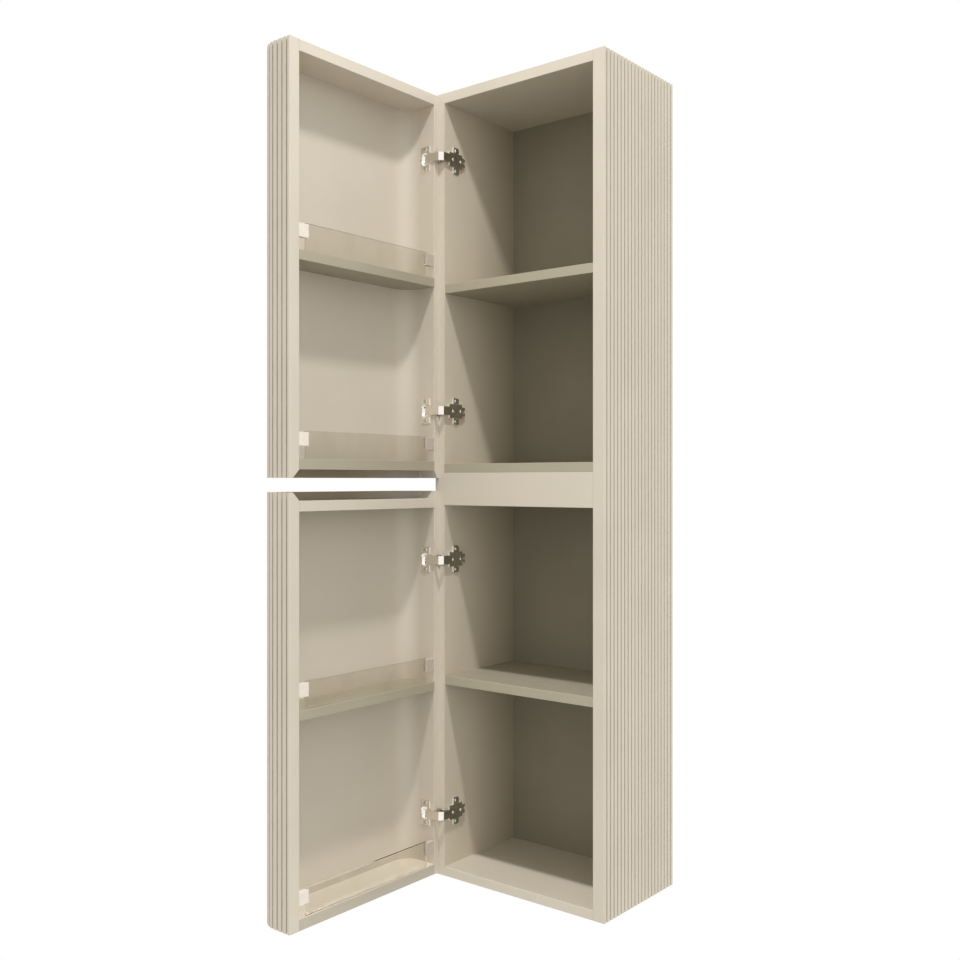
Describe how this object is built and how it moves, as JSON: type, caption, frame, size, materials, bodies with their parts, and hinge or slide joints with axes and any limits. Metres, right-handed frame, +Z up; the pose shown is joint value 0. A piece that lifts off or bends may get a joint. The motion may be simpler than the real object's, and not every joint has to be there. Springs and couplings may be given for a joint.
{
  "type": "wall cabinet",
  "caption": "Tall narrow wall cabinet with fluted sides, two fluted box doors on concealed hinges, shelves, and door bins with clear gallery rails.",
  "frame": {"origin": "midway between the two keyhole entry holes of the hanger plates, on the wall plane", "axes": "+Y into the wall, +Z up, +X to the right as seen from the room; the doors stand open"},
  "size_m": [0.4355, 0.5705, 1.4],
  "materials": {
    "lacquer": "cream satin lacquer on board",
    "inner_board": "matt board, faced in a darker cream",
    "banded_board": "matt faced board with a cream edge band along its front",
    "dowel_wood": "plain beech",
    "hinge_steel": "bright nickel plate",
    "screw_steel": "zinc-plated",
    "hanger_steel": "galvanised",
    "clip_plastic": "moulded white",
    "rail_glass": "clear, polished edges"
  },
  "bodies": {
    "carcass": {"back_panel": "inner_board", "bottom_hinge_arm": "hinge_steel", "bottom_hinge_pin": "hinge_steel", "bottom_hinge_plate": "hinge_steel", "bottom_panel": "banded_board", "carcass_dowels": "dowel_wood", "hanger_plate_left": "hanger_steel", "hanger_plate_right": "hanger_steel", "hanger_screws": "screw_steel", "hinge_arm_screws": "screw_steel", "hinge_plate_screws": "screw_steel", "left_side": "lacquer", "lower_ceiling": "inner_board", "lower_middle_hinge_arm": "hinge_steel", "lower_middle_hinge_pin": "hinge_steel", "lower_middle_hinge_plate": "hinge_steel", "lower_shelf": "inner_board", "mid_rail": "lacquer", "right_side": "lacquer", "top_hinge_arm": "hinge_steel", "top_hinge_pin": "hinge_steel", "top_hinge_plate": "hinge_steel", "top_panel": "lacquer", "upper_floor": "inner_board", "upper_middle_hinge_arm": "hinge_steel", "upper_middle_hinge_pin": "hinge_steel", "upper_middle_hinge_plate": "hinge_steel", "upper_shelf": "inner_board"},
    "upper_door": {"top_hinge_cup": "hinge_steel", "upper_door_bottom_rail": "rail_glass", "upper_door_bottom_rail_clips": "clip_plastic", "upper_door_bottom_wall": "inner_board", "upper_door_cup_screws": "screw_steel", "upper_door_dowels": "dowel_wood", "upper_door_free_stile": "lacquer", "upper_door_front_panel": "lacquer", "upper_door_hinge_stile": "lacquer", "upper_door_shelf": "inner_board", "upper_door_shelf_rail": "rail_glass", "upper_door_shelf_rail_clips": "clip_plastic", "upper_door_top_wall": "lacquer", "upper_middle_hinge_cup": "hinge_steel"},
    "lower_door": {"bottom_hinge_cup": "hinge_steel", "lower_door_bottom_rail": "rail_glass", "lower_door_bottom_rail_clips": "clip_plastic", "lower_door_bottom_wall": "inner_board", "lower_door_cup_screws": "screw_steel", "lower_door_dowels": "dowel_wood", "lower_door_free_stile": "lacquer", "lower_door_front_panel": "lacquer", "lower_door_hinge_stile": "lacquer", "lower_door_shelf": "inner_board", "lower_door_shelf_rail": "rail_glass", "lower_door_shelf_rail_clips": "clip_plastic", "lower_door_top_wall": "lacquer", "lower_middle_hinge_cup": "hinge_steel"}
  },
  "joints": [
    {"name": "upper_door_hinge", "type": "hinge", "parent": "carcass", "child": "upper_door", "pos_m": [-0.169, -0.2215, 0], "axis": [0, 0, 1], "range_deg": [0, 90]},
    {"name": "lower_door_hinge", "type": "hinge", "parent": "carcass", "child": "lower_door", "pos_m": [-0.169, -0.2215, 0], "axis": [0, 0, 1], "range_deg": [0, 90]}
  ]
}
